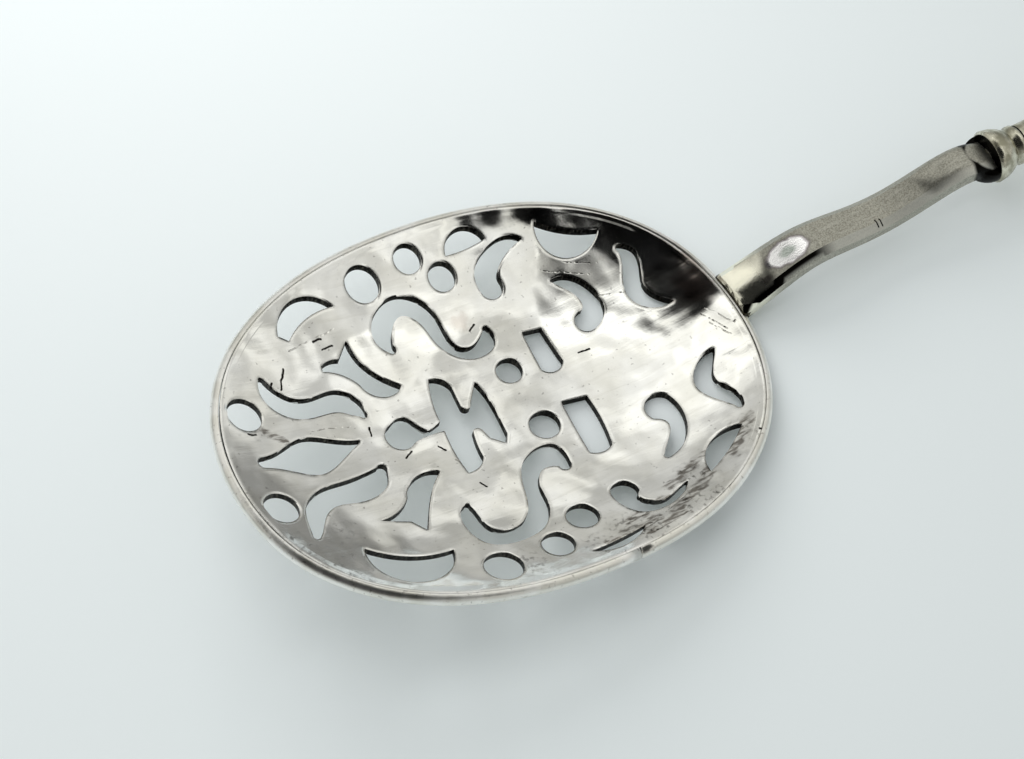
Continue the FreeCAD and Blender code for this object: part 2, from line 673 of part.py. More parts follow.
def spear():
    """What the plan, the side view and the diamond section of the spear have in common."""
    start = float(follow.spear_start)
    far = start + size("spear_length")
    swept = start - size("barb_sweep")
    half = size("barb_half_width")
    thick = size("spear_half_thickness")
    tip = size("spear_tip")
    inner = size("neck_end_radius")
    middle = (start + far) / 2
    plan = Part.Wire([
        Part.LineSegment(Vector(start, -inner, 0), Vector(start, inner, 0)).toShape(),
        Part.LineSegment(Vector(start, inner, 0), Vector(swept, half, 0)).toShape(),
        side([Vector(swept, half, 0), Vector(middle, size("spear_belly"), 0), Vector(far, tip, 0)]),
        Part.LineSegment(Vector(far, tip, 0), Vector(far, -tip, 0)).toShape(),
        side([Vector(far, -tip, 0), Vector(middle, -size("spear_belly"), 0), Vector(swept, -half, 0)]),
        Part.LineSegment(Vector(swept, -half, 0), Vector(start, -inner, 0)).toShape(),
    ])
    plan.translate(UP * -thick)
    blade = Part.Face(plan).extrude(UP * 2 * thick)
    profile = ring_of(
        Vector(swept, -half, -thick), Vector(start, -half, -thick), Vector(far, -half, -tip),
        Vector(far, -half, tip), Vector(start, -half, thick), Vector(swept, -half, thick),
    )
    flank = size("spear_flank")
    diamond = ring_of(Vector(swept, flank, 0), Vector(swept, 0, thick), Vector(swept, -flank, 0),
                      Vector(swept, 0, -thick))
    section = diamond.extrude(Vector(far - swept, 0, 0))
    return blade.common(profile.extrude(Vector(0, 2 * half, 0))).common(section)


def make_finial():
    neck = document.addObject("Part::Cone", "Neck")
    neck.Placement = Placement(Vector(), Rotation(UP, Vector(1, 0, 0)))
    neck.setExpression("Radius1", "Spoon.neck_radius")
    neck.setExpression("Radius2", "Spoon.neck_end_radius")
    neck.setExpression("Height", "Spoon.neck_length + Spoon.barb_sweep")
    neck.setExpression("Placement.Base.x", "Follow.shaft_end")
    spigot = document.addObject("Part::Cylinder", "Spigot")
    spigot.Placement = Placement(Vector(), Rotation(UP, Vector(1, 0, 0)))
    spigot.setExpression("Radius", "Spoon.spigot_radius")
    spigot.setExpression("Height", "Spoon.spigot_length + Spoon.neck_length")
    spigot.setExpression("Placement.Base.x", "Follow.shaft_end - Spoon.spigot_length")
    finial = combined("Part::MultiFuse", "Finial", Shapes=[drawn("Spear", spear()), neck, spigot])
    thread_on_shaft(finial)
    return finial


# The pieces under their own names, checked and written out.

bar = stem_bar()
PIECES = {
    "bowl": make_bowl(),
    "rim_wire": make_rim_wire(),
    "root_solder": make_root_solder(bar),
    "lower_stem": make_lower_stem(bar),
    "collar_ring": make_collar_ring(),
    "reel_ring": make_reel_ring(),
    "upper_stem": make_upper_stem(),
    "finial": make_finial(),
}
for label, piece in PIECES.items():
    piece.Label = label
document.recompute()

# The frame's origin is below the middle of the spoon's length.
MEASURE = 0.01
edges = [point.x for piece in PIECES.values() for point in piece.Shape.tessellate(MEASURE)[0]]
follow.set(follow.getCellFromAlias("middle_shift"), str(-(min(edges) + max(edges)) / 2))
document.recompute()

for item in document.Objects:
    if {"Invalid", "Error"} & set(item.State):
        raise RuntimeError(f"{item.Name} was not built: {item.State}")
for label, piece in PIECES.items():
    if piece.Shape.isNull() or not piece.Shape.isValid() or len(piece.Shape.Solids) != 1:
        raise RuntimeError(f"{label} is not one valid solid")

os.makedirs("parts", exist_ok=True)
for label, piece in PIECES.items():
    piece.Shape.exportStep(f"parts/{label}.step")
    print(label, round(piece.Shape.Volume, 2), piece.Shape.BoundBox)
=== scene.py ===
"""Mote spoon in worn hand-worked silver: finishes, surface marks, table and light."""

import math

import bmesh
import bpy
from bpy.props import FloatProperty, PointerProperty
from mathutils import Matrix, Vector


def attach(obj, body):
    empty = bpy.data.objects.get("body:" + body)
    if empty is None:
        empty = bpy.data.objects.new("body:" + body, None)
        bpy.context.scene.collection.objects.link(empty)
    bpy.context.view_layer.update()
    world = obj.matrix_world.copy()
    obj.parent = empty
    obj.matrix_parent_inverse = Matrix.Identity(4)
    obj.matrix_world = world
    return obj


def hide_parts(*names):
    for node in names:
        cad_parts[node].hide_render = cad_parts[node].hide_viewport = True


bl_info = {
    "name": "Mote spoon",
    "version": (1, 0, 0),
    "blender": (4, 5, 0),
    "location": "3D View > Sidebar > Mote spoon",
    "description": "Dresses a pierced mote spoon in worn silver and sets it on a pale table",
    "category": "Add Mesh",
}

MM = 0.001
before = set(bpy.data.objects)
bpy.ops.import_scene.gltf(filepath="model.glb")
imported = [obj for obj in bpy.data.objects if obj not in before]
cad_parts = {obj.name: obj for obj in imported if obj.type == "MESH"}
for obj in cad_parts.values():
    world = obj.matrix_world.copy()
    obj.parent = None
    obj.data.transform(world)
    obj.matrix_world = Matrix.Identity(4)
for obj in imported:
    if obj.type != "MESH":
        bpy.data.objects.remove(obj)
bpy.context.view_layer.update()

# The bowl as the solids have it, in millimetres and degrees: how its rim plane lies, and
# the formula of its hollow.
REST_TILT = 12.5
RIM_MIDDLE = (-53.274, 0.0, 4.731)
HALF_LENGTH = 16.0
HALF_WIDTH = 12.0
OVAL_POWER = 2.25
OVAL_EGG = 0.032
BOWL_DEPTH = 3.25
BOWL_POWER = 2.42
BOWL_WALL = 0.48
# The worn flat under the bowl faces straight down, by at least this much.
WORN_FLAT = 0.99995


def linear(code):
    """Linear colour of an sRGB hex code."""
    channels = [int(code[place:place + 2], 16) / 255 for place in (1, 3, 5)]
    return [c / 12.92 if c <= 0.04045 else ((c + 0.055) / 1.055) ** 2.4 for c in channels] + [1.0]


# Node trees.

def add_node(tree, kind, links=None, values=None, **settings):
    """Adds a node, sets its attributes and input values, and links its inputs."""
    node = tree.nodes.new(kind)
    for name, value in settings.items():
        setattr(node, name, value)
    for name, value in (values or {}).items():
        node.inputs[name].default_value = value
    for name, source in (links or {}).items():
        tree.links.new(source, node.inputs[name])
    return node


def calc(tree, operation, *inputs, clamp=False):
    """A sum or other calculation with sockets and plain numbers."""
    node = add_node(tree, "ShaderNodeMath", operation=operation, use_clamp=clamp)
    for slot, value in zip(node.inputs, inputs):
        if isinstance(value, bpy.types.NodeSocket):
            tree.links.new(value, slot)
        else:
            slot.default_value = value
    return node.outputs[0]


def axis(tree, vector, name):
    """One component of a vector."""
    return add_node(tree, "ShaderNodeSeparateXYZ", {"Vector": vector}).outputs[name]


def slope(tree, value, low, high, start=0.0, end=1.0):
    """Runs smoothly from start to end while the value runs from low to high."""
    node = add_node(tree, "ShaderNodeMapRange", {"Value": value},
                    {"From Min": low, "From Max": high, "To Min": start, "To Max": end},
                    interpolation_type="SMOOTHSTEP")
    return node.outputs[0]


def band(tree, value, low, full, waning, high):
    """Rises from 0 to 1 and falls back to 0 while the value runs past the four places."""
    return calc(tree, "MULTIPLY", slope(tree, value, low, full), slope(tree, value, waning, high, 1, 0))


def grain(tree, place, size, detail=2.0, distortion=0.0):
    """Noise with features of about that many millimetres."""
    return add_node(tree, "ShaderNodeTexNoise", {"Vector": place},
                    {"Scale": 1 / size, "Detail": detail, "Distortion": distortion}).outputs["Fac"]


def blend_colours(tree, share, first, second, strength=1.0):
    """Blends two colours, sockets or hex codes, by a share and its strength."""
    if strength != 1.0:
        share = calc(tree, "MULTIPLY", share, strength)
    node = add_node(tree, "ShaderNodeMix", {"Factor": share}, data_type="RGBA")
    for slot, value in ((node.inputs["A"], first), (node.inputs["B"], second)):
        if isinstance(value, str):
            slot.default_value = linear(value)
        else:
            tree.links.new(value, slot)
    return node.outputs["Result"]


def raised(tree, height, depth, under=None):
    """Bump with a real depth in millimetres, on top of another bump."""
    links = {"Height": height}
    if under is not None:
        links["Normal"] = under
    return add_node(tree, "ShaderNodeBump", links, {"Strength": 1.0, "Distance": depth * MM}).outputs[0]


def rim_place(tree):
    """Place on the spoon in millimetres, seen from the middle of the rim's oval."""
    turn = Matrix.Rotation(-math.radians(REST_TILT), 3, "Y")
    shift = turn @ Vector(RIM_MIDDLE)
    source = add_node(tree, "ShaderNodeTexCoord").outputs["Object"]
    return add_node(tree, "ShaderNodeMapping", {"Vector": source}, {
        "Location": -shift, "Rotation": (0, -math.radians(REST_TILT), 0), "Scale": (1 / MM,) * 3,
    }).outputs[0]


def stretched(tree, place, scale):
    """Places multiplied by a number for each axis, which shortens a pattern along that axis."""
    return add_node(tree, "ShaderNodeVectorMath", {0: place}, {1: scale}, operation="MULTIPLY").outputs[0]


def shaken(tree, place, size, amount):
    """The same places, moved about so that what is drawn there gets a ragged edge."""
    noise = add_node(tree, "ShaderNodeTexNoise", {"Vector": place}, {"Scale": 1 / size, "Detail": 3.0})
    centred = add_node(tree, "ShaderNodeVectorMath", {0: noise.outputs["Color"]}, {1: (0.5, 0.5, 0.5)},
                       operation="SUBTRACT").outputs[0]
    moved = stretched(tree, centred, (amount, amount, 0))
    return add_node(tree, "ShaderNodeVectorMath", {0: place, 1: moved}, operation="ADD").outputs[0]


def spots(tree, place, marks):
    """Soft round marks: the greatest of those given as x, y, radius and strength."""
    total = 0.0
    for x, y, radius, strength in marks:
        away = add_node(tree, "ShaderNodeVectorMath", {0: place}, {1: (x, y, 0)}, operation="DISTANCE")
        share = slope(tree, away.outputs["Value"], radius * 0.25, radius, strength, 0)
        total = calc(tree, "MAXIMUM", share, total)
    return total


def strokes(tree, place, lines, width):
    """Fine lines between pairs of points, given as x, y and x, y."""
    total = 0.0
    for x1, y1, x2, y2 in lines:
        start = Vector((x1, y1, 0))
        run = Vector((x2, y2, 0)) - start
        away = add_node(tree, "ShaderNodeVectorMath", {0: place}, {1: start}, operation="SUBTRACT").outputs[0]
        along = add_node(tree, "ShaderNodeVectorMath", {0: away}, {1: run / run.length_squared},
                         operation="DOT_PRODUCT").outputs["Value"]
        nearest = add_node(tree, "ShaderNodeVectorMath", {"Scale": calc(tree, "ADD", along, 0, clamp=True)},
                           {0: run}, operation="SCALE").outputs[0]
        gap = add_node(tree, "ShaderNodeVectorMath", {0: away, 1: nearest}, operation="DISTANCE")
        total = calc(tree, "MAXIMUM", slope(tree, gap.outputs["Value"], width * 0.4, width, 1, 0), total)
    return total


def new_material(name):
    """An empty material with nodes."""
    material = bpy.data.materials.new(name)
    material.use_nodes = True
    material.node_tree.nodes.clear()
    return material


def metal(tree, colour, roughness, normal):
    """Ends a material as bare metal, with a plain or a patterned roughness."""
    shader = add_node(tree, "ShaderNodeBsdfPrincipled", {"Base Color": colour, "Normal": normal},
                      {"Metallic": 1.0})
    if isinstance(roughness, float):
        shader.inputs["Roughness"].default_value = roughness
    else:
        tree.links.new(roughness, shader.inputs["Roughness"])
    add_node(tree, "ShaderNodeOutputMaterial", {"Surface": shader.outputs[0]})


# Marks on the bowl, in millimetres from the middle of the rim's oval.
CRACKS = (
    (-10.2, 6.5, -10.85, 5.35), (-11.2, 5.85, -11.7, 5.0), (-7.75, 7.65, -7.2, 7.67),
    (-7.4, 7.1, -6.7, 7.2), (-14.0, 3.05, -13.56, 2.93), (-6.85, 1.95, -6.93, 1.42),
    (-2.6, -3.57, -2.34, -3.91), (-3.6, -0.42, -3.3, -0.82), (-5.74, -0.52, -5.21, -0.27),
    (7.0, 1.94, 7.73, 1.85), (1.68, 5.68, 2.07, 5.94), (13.1, -8.2, 12.75, -8.0),
)
SCRATCHES = (
    (14.64, 0.77, 15.55, -1.0), (14.23, 0.6, 15.06, -1.1), (14.4, -0.2, 15.1, -1.6),
    (8.56, 7.43, 10.73, 6.41), (7.25, 7.48, 9.89, 6.04), (8.39, 5.02, 11.55, 4.07),
    (3.4, -9.9, 6.6, -9.3), (4.2, -10.6, 7.4, -9.6), (2.2, -10.9, 5.0, -10.5),
    (-9.4, 7.4, -6.2, 8.1), (-10.2, 2.6, -7.6, 2.3), (-3.1, -1.6, -1.9, -2.9),
)
# Dark tarnish: x, y, radius and strength.
TARNISH = (
    (-12.5, -6.4, 2.4, 0.55), (-11.5, -4.1, 1.0, 0.5), (-14.8, -4.3, 1.2, 0.6), (-14.2, -4.7, 0.7, 0.7),
    (-15.9, -0.6, 0.9, 0.5), (8.3, -8.8, 1.4, 0.8), (7.7, -10.5, 1.5, 0.8), (2.6, -9.8, 1.2, 0.6),
    (-3.3, -10.0, 1.4, 0.5), (3.6, -11.0, 1.5, 0.9), (6.8, -10.2, 1.2, 0.8), (0.7, -10.6, 1.2, 0.6),
    (12.0, -7.5, 1.5, 0.6), (-13.6, 3.4, 1.0, 0.5),
)
# Brown grime in streaks on the near wall, as lines.
GRIME = (
    (1.3, -10.7, 4.6, -10.35), (3.1, -9.75, 6.9, -9.35), (5.6, -10.4, 8.6, -9.3), (6.6, -8.7, 9.5, -7.7),
    (8.4, -9.3, 11.2, -7.7), (3.6, -11.1, 6.0, -10.9), (10.6, -8.6, 12.9, -6.9), (-12.9, 3.0, -12.1, 2.4),
)
# Pink-brown bloom on the far wall, below the root of the stem.
BLOOM = ((14.7, 2.3, 1.6, 0.8), (15.4, 3.8, 1.2, 0.5), (1.3, 6.4, 0.9, 0.3))

# What tools and wear left on the bowl, in millimetres.
HAMMER_DENT = 4.2
PLANISHING_DENT = 1.6
PLANISHING_SHARE = 0.3
EDGE_ROUNDING = 0.3
CLOUD_SIZE = 3.2
SPECKLE_SIZE = 0.3
STREAK_DEPTH = 0.005
POLISH_GRAIN = 0.16
POLISH_DEPTH = 0.0012
CRACK_WIDTH = 0.075
SCRATCH_WIDTH = 0.05
GRIME_WIDTH = 0.42
MARK_DEPTH = 0.02

# Marks on the bar, in millimetres on the spoon: two nicks as lines, then ovals as middle and
# half axes, then where along the spoon each change begins and ends.
BAR_NICKS = ((-28.1, 0.0, -28.03, -0.4), (-27.83, -0.05, -27.76, -0.42))
NICK_WIDTH = 0.06
PLANISHED_OVAL = ((-33.8, 0.58), (1.3, 0.74))
BRUISE = ((-35.6, -0.15), (0.5, 0.35))
BAR_END = ((-19.9, 0.6), (1.5, 1.1))
PALE_ROOT = (-36.3, -34.6)
# Painted shade on the near chamfer runs out between these places; the next pair starts the ball's painted
# dark reflection.
SHADED_CHAMFER_SPAN = (-32.6, -30.9)
BALL = (-21.5, -21.2)
FILE_GRAIN = 0.09
DRAWING_SIZE = 0.8
DRAWING_DEPTH = 0.005


def hammered_silver(settings):
    """Silver raised with a hammer and worn: soft dents that break up what it reflects, scraped
    streaks, cracks beside the saw cuts, and dark tarnish where a cloth doesn't reach."""
    material = new_material("hammered silver")
    tree = material.node_tree
    place = rim_place(tree)
    flat = stretched(tree, place, (1, 1, 0))
    ragged = shaken(tree, flat, 0.9, 1.6)
    stained = spots(tree, ragged, TARNISH)
    speckle = slope(tree, grain(tree, flat, SPECKLE_SIZE, 4.0), 0.5, 0.68)
    cloud = grain(tree, flat, CLOUD_SIZE, 4.0)
    streak = grain(tree, stretched(tree, flat, (0.25, 2.4, 1)), 1.1, 4.0, 0.6)
    stain = calc(tree, "MULTIPLY", stained, calc(tree, "ADD", 0.12, speckle), clamp=True)
    stain = calc(tree, "MULTIPLY", stain, settings.tarnish)
    dust = calc(tree, "MULTIPLY", slope(tree, grain(tree, flat, SPECKLE_SIZE, 2.0), 0.66, 0.74), 0.35)
    cracks = strokes(tree, shaken(tree, flat, 0.5, 0.25), CRACKS, CRACK_WIDTH)
    scratches = calc(tree, "MULTIPLY", strokes(tree, shaken(tree, flat, 1.4, 0.3), SCRATCHES, SCRATCH_WIDTH),
                     slope(tree, grain(tree, flat, 0.35, 1.0), 0.4, 0.65))
    smears = slope(tree, grain(tree, stretched(tree, flat, (0.5, 2, 1)), 0.4, 3.0), 0.4, 0.6, 0.15, 0.85)
    grime = calc(tree, "MULTIPLY", strokes(tree, shaken(tree, flat, 0.7, 0.9), GRIME, GRIME_WIDTH), smears)
    silver = blend_colours(tree, slope(tree, cloud, 0.3, 0.7), "#E9E8E2", "#FAFAF8")
    silver = blend_colours(tree, slope(tree, streak, 0.5, 0.72), silver, "#B7B2A4", 0.12)
    silver = blend_colours(tree, spots(tree, ragged, BLOOM), silver, "#A38C80")
    silver = blend_colours(tree, grime, silver, "#4A3E30", settings.tarnish)
    silver = blend_colours(tree, calc(tree, "MAXIMUM", stain, dust), silver, "#2A241C")
    silver = blend_colours(tree, scratches, silver, "#6E675C", 0.35)
    silver = blend_colours(tree, cracks, silver, "#15120E")
    wear = calc(tree, "ADD", cloud, calc(tree, "MULTIPLY", streak, 0.3))
    rough = calc(tree, "ADD", slope(tree, wear, 0.35, 0.95, 0.06, 0.15), calc(tree, "MULTIPLY", stain, 0.35))
    edge = add_node(tree, "ShaderNodeBevel", values={"Radius": EDGE_ROUNDING * MM}, samples=8).outputs[0]
    normal = raised(tree, grain(tree, place, HAMMER_DENT, 0.0), settings.hammering, edge)
    planishing = settings.hammering * PLANISHING_SHARE
    normal = raised(tree, grain(tree, place, PLANISHING_DENT, 0.5), planishing, normal)
    normal = raised(tree, streak, STREAK_DEPTH, normal)
    normal = raised(tree, grain(tree, place, POLISH_GRAIN, 2.0), POLISH_DEPTH, normal)
    normal = raised(tree, calc(tree, "MAXIMUM", cracks, scratches), -MARK_DEPTH, normal)
    metal(tree, silver, rough, normal)
    return material


def sawn_edge():
    """The walls of the saw cuts and drilled holes: never polished, so nearly black with dirt."""
    material = new_material("sawn edge, blackened")
    tree = material.node_tree
    place = rim_place(tree)
    teeth = grain(tree, stretched(tree, place, (1, 1, 0.2)), 0.12, 2.0)
    colour = blend_colours(tree, slope(tree, teeth, 0.45, 0.75), "#12110E", "#55524A")
    metal(tree, colour, 0.5, raised(tree, teeth, 0.02))
    return material


def rubbed_wire():
    """Drawn silver wire on the rim, rubbed bright and satin by use, finely nicked, and with painted shade
    along its underside."""
    material = new_material("drawn silver wire")
    tree = material.node_tree
    place = rim_place(tree)
    nicks = slope(tree, grain(tree, place, 0.22, 2.0), 0.62, 0.72)
    cloud = grain(tree, place, 1.6, 3.0)
    colour = blend_colours(tree, slope(tree, cloud, 0.35, 0.65), "#E6E4DC", "#FAF9F5")
    colour = blend_colours(tree, nicks, colour, "#77736A", 0.4)
    # Painted shade: the wire's underside is darkened where the shadow under the bowl falls.
    colour = blend_colours(tree, slope(tree, axis(tree, place, "Z"), -0.72, -0.55, 1, 0), colour, "#1D1B15")
    normal = raised(tree, cloud, 0.05)
    normal = raised(tree, grain(tree, place, 0.14, 2.0), 0.006, normal)
    metal(tree, colour, slope(tree, cloud, 0.3, 0.7, 0.28, 0.42), normal)
    return material


def spoon_place(tree):
    """Place on the spoon in millimetres."""
    source = add_node(tree, "ShaderNodeTexCoord").outputs["Object"]
    return add_node(tree, "ShaderNodeMapping", {"Vector": source}, {"Scale": (1 / MM,) * 3}).outputs[0]


def oval_away(tree, place, middle, reach):
    """Distance from the middle of an oval seen from above, as a share of its half axes."""
    from_middle = add_node(tree, "ShaderNodeVectorMath", {0: place}, {1: (*middle, 0)}, operation="SUBTRACT")
    shares = stretched(tree, from_middle.outputs[0], (1 / reach[0], 1 / reach[1], 0))
    return add_node(tree, "ShaderNodeVectorMath", {0: shares}, operation="LENGTH").outputs["Value"]


def filed_bar(settings):
    """A forged silver bar, filed flat and dull: the root is rubbed pale, a planished oval above it shines,
    the near chamfers get a painted highlight, the near chamfer beside the root and oval is painted black as
    shade, and the ball before the collar gets a painted dark reflection."""
    material = new_material("forged silver bar")
    tree = material.node_tree
    place = spoon_place(tree)
    along = axis(tree, place, "X")
    facing = add_node(tree, "ShaderNodeTexCoord").outputs["Normal"]
    chamfer = band(tree, calc(tree, "MULTIPLY", axis(tree, facing, "Y"), -1), 0.35, 0.55, 0.8, 0.93)
    ragged = shaken(tree, place, 0.5, 0.35)
    oval = oval_away(tree, ragged, *PLANISHED_OVAL)
    bruise = oval_away(tree, ragged, *BRUISE)
    root = slope(tree, along, *PALE_ROOT, 1, 0)
    shine = slope(tree, oval, 0.95, 1.1, 1, 0)
    ring = band(tree, oval, 0.85, 0.98, 1.02, 1.2)
    # Painted shade: the near chamfer is blackened by the root.
    painted_chamfer_shade = calc(tree, "MULTIPLY", chamfer, slope(tree, along, *SHADED_CHAMFER_SPAN, 1, 0))
    beside = slope(tree, oval_away(tree, place, *BAR_END), 0.9, 1.02)
    # Painted dark reflection on the ball before the collar.
    ball = calc(tree, "MULTIPLY", slope(tree, along, *BALL), beside)
    nicks = strokes(tree, stretched(tree, place, (1, 1, 0)), BAR_NICKS, NICK_WIDTH)
    fine = grain(tree, place, FILE_GRAIN, 3.0)
    lengthwise = grain(tree, stretched(tree, place, (0.3, 3, 3)), DRAWING_SIZE, 3.0)
    colour = blend_colours(tree, slope(tree, fine, 0.3, 0.7), "#96948A", "#C2C0B5")
    colour = blend_colours(tree, slope(tree, lengthwise, 0.5, 0.7), colour, "#D6D5CC", 0.3)
    # Painted highlight: the chamfers facing the near side are lightened.
    colour = blend_colours(tree, chamfer, colour, "#E4E3DB", 0.6)
    colour = blend_colours(tree, root, colour, "#FDFAE8", 0.9)
    colour = blend_colours(tree, shine, colour, "#FCFBFC")
    colour = blend_colours(tree, slope(tree, oval, 0.2, 0.55, 0.75, 0), colour, "#A9B5AB")
    colour = blend_colours(tree, ring, colour, "#70656B", 0.6)
    colour = blend_colours(tree, slope(tree, bruise, 0.3, 1.0, 0.6, 0), colour, "#6B5B5C")
    # Painted shade on the chamfer and the painted dark reflection on the ball, with the real nicks, all near
    # black.
    dark = calc(tree, "MAXIMUM", calc(tree, "MAXIMUM", painted_chamfer_shade, ball), nicks)
    colour = blend_colours(tree, dark, colour, "#0C0B08")
    rough = calc(tree, "SUBTRACT", 0.5, calc(tree, "MULTIPLY", calc(tree, "MAXIMUM", root, shine), 0.3))
    normal = raised(tree, fine, settings.grain, raised(tree, lengthwise, DRAWING_DEPTH))
    metal(tree, colour, rough, normal)
    return material


def turned_silver():
    """Silver turned and scraped round: slightly yellow, clouded, with fine rings round the shaft,
    and a painted dark reflection on the faces towards the bowl."""
    material = new_material("turned silver")
    tree = material.node_tree
    place = spoon_place(tree)
    rings = grain(tree, stretched(tree, place, (6, 0.4, 0.4)), 0.9, 3.0)
    cloud = grain(tree, place, 0.8, 4.0)
    facing = add_node(tree, "ShaderNodeTexCoord").outputs["Normal"]
    faces_bowl = calc(tree, "MULTIPLY", axis(tree, facing, "X"), -1)
    colour = blend_colours(tree, slope(tree, cloud, 0.35, 0.65), "#9C9986", "#DAD7C6")
    # Painted dark reflection: the faces towards the bowl are blackened.
    colour = blend_colours(tree, slope(tree, faces_bowl, 0.6, 0.9), colour, "#14130D")
    normal = raised(tree, cloud, 0.06, raised(tree, rings, 0.01))
    metal(tree, colour, slope(tree, cloud, 0.3, 0.7, 0.36, 0.2), normal)
    return material


def old_solder():
    """Silver solder run into the joint and oxidised: dull, dark and lumpy."""
    material = new_material("old solder")
    tree = material.node_tree
    place = rim_place(tree)
    lumps = grain(tree, place, 0.3, 3.0)
    colour = blend_colours(tree, slope(tree, lumps, 0.4, 0.6), "#2E2A20", "#6A6450")
    metal(tree, colour, 0.45, raised(tree, lumps, 0.03))
    return material


# Pieces. Each is made over the solid's own mesh, joined up and shaded smooth, with a crease
# wherever its faces meet at more than this many degrees.
CREASES = {"bowl": 30, "rim_wire": 50, "lower_stem": 25, "root_solder": 30}
TURNED_CREASE = 32


def joined_copy(node, name):
    """A copy of a solid's mesh with its loose triangles joined."""
    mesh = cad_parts[node].data.copy()
    mesh.name = name
    form = bmesh.new()
    form.from_mesh(mesh)
    bmesh.ops.remove_doubles(form, verts=form.verts, dist=0.001 * MM)
    form.to_mesh(mesh)
    form.free()
    mesh.shade_smooth()
    mesh.set_sharp_from_angle(angle=math.radians(CREASES.get(node, TURNED_CREASE)))
    mesh.materials.clear()
    return mesh


def stand_in(node, name, slot, mesh, *materials):
    """Shows a piece instead of its solid."""
    for material in materials:
        mesh.materials.append(material)
    piece = bpy.data.objects.new(name, mesh)
    bpy.context.scene.collection.objects.link(piece)
    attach(piece, "root")
    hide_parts(node)


def hollow(x, y):
    """Height of the bowl's inner surface in millimetres, and its slopes along x and y."""
    half_width = HALF_WIDTH * (1 + OVAL_EGG * x / HALF_LENGTH)
    along = abs(x) / HALF_LENGTH
    across = abs(y) / half_width
    share = (along ** OVAL_POWER + across ** OVAL_POWER) ** (1 / OVAL_POWER)
    if share == 0:
        return -BOWL_DEPTH, 0.0, 0.0
    rise = BOWL_DEPTH * BOWL_POWER * share ** (BOWL_POWER - OVAL_POWER)
    slope_x = rise * along ** (OVAL_POWER - 1) / HALF_LENGTH * math.copysign(1, x)
    slope_y = rise * across ** (OVAL_POWER - 1) / half_width * math.copysign(1, y)
    return BOWL_DEPTH * (share ** BOWL_POWER - 1), slope_x, slope_y


def dress_bowl_mesh(mesh):
    """Gives the curved faces true normals and the walls of the openings their own material."""
    turn = Matrix.Rotation(math.radians(REST_TILT), 3, "Y")
    back = turn.inverted()
    rim = [back @ (vertex.co / MM - Vector(RIM_MIDDLE)) for vertex in mesh.vertices]
    surface = [hollow(point.x, point.y) for point in rim]
    normals = [Vector(corner.vector) for corner in mesh.corner_normals]
    for face in mesh.polygons:
        offs = [rim[index].z - surface[index][0] for index in face.vertices]
        if min(offs) > -BOWL_WALL / 3:
            hand = 1
        elif max(offs) < -BOWL_WALL * 2 / 3 and face.normal.z > -WORN_FLAT:
            hand = -1
        else:
            face.material_index = 1 if face.normal.z > -WORN_FLAT else 0
            continue
        for corner in face.loop_indices:
            _, slope_x, slope_y = surface[mesh.loops[corner].vertex_index]
            normals[corner] = turn @ Vector((-slope_x, -slope_y, 1)).normalized() * hand
    mesh.normals_split_custom_set(normals)


class BowlSettings(bpy.types.PropertyGroup):
    hammering: FloatProperty(name="Hammering", description="Depth of the hammer's dents in millimetres",
                             default=0.3, min=0.0, max=1.0)
    tarnish: FloatProperty(name="Tarnish", description="How dark the tarnish near the rim is",
                           default=0.9, min=0.0, max=1.0, subtype="FACTOR")


class StemSettings(bpy.types.PropertyGroup):
    grain: FloatProperty(name="Grain", description="Depth of the filed grain in millimetres",
                         default=0.006, min=0.0, max=0.1)


class StageSettings(bpy.types.PropertyGroup):
    surround: FloatProperty(name="Surround", description="Strength of the soft light from all round",
                            default=0.6, min=0.0, max=3.0)
    lamp: FloatProperty(name="Lamp", description="Power of the lamp above the bowl",
                        default=0.022, min=0.0, max=10.0, unit="POWER")
    window: FloatProperty(name="Window", description="Power of the window behind the spoon",
                          default=0.024, min=0.0, max=10.0, unit="POWER")


class SPOON_OT_bowl(bpy.types.Operator):
    """Dresses the pierced bowl: hammered silver with blackened saw cuts"""
    bl_idname = "spoon.bowl"
    bl_label = "Bowl"

    def execute(self, context):
        mesh = joined_copy("bowl", "bowl silver")
        dress_bowl_mesh(mesh)
        stand_in("bowl", "bowl_silver_work", "bowl_silver", mesh,
                 hammered_silver(context.scene.spoon_bowl), sawn_edge())
        return {"FINISHED"}


class SPOON_OT_wire(bpy.types.Operator):
    """Dresses the wire round the rim"""
    bl_idname = "spoon.wire"
    bl_label = "Rim wire"

    def execute(self, context):
        mesh = joined_copy("rim_wire", "wire silver")
        stand_in("rim_wire", "rim_wire_work", "wire_silver", mesh, rubbed_wire())
        return {"FINISHED"}


class SPOON_OT_stem(bpy.types.Operator):
    """Dresses the lower stem and the solder at its root"""
    bl_idname = "spoon.stem"
    bl_label = "Lower stem"

    def execute(self, context):
        bar = joined_copy("lower_stem", "stem silver")
        stand_in("lower_stem", "lower_stem_work", "stem_silver", bar, filed_bar(context.scene.spoon_stem))
        solder = joined_copy("root_solder", "solder")
        stand_in("root_solder", "root_solder_work", "solder", solder, old_solder())
        return {"FINISHED"}


class SPOON_OT_shaft(bpy.types.Operator):
    """Dresses the collar, the reel, the upper stem and the finial"""
    bl_idname = "spoon.shaft"
    bl_label = "Turned shaft"

    def execute(self, context):
        material = turned_silver()
        for node in ("collar_ring", "reel_ring", "upper_stem", "finial"):
            stand_in(node, f"{node}_work", "turned_silver", joined_copy(node, f"{node} silver"), material)
        return {"FINISHED"}


# The photograph's camera, in millimetres, degrees and pixels.
CAMERA_PLACE = (-79.326, -52.154, 113.433)
CAMERA_AIM = (-52.412, 0.091, 4.993)
CAMERA_ROLL = -1.34
FOCAL_PIXELS = 2200
FRAME_WIDTH = 1024
SENSOR_WIDTH = 36
CLIP_START = 5
CLIP_END = 5000


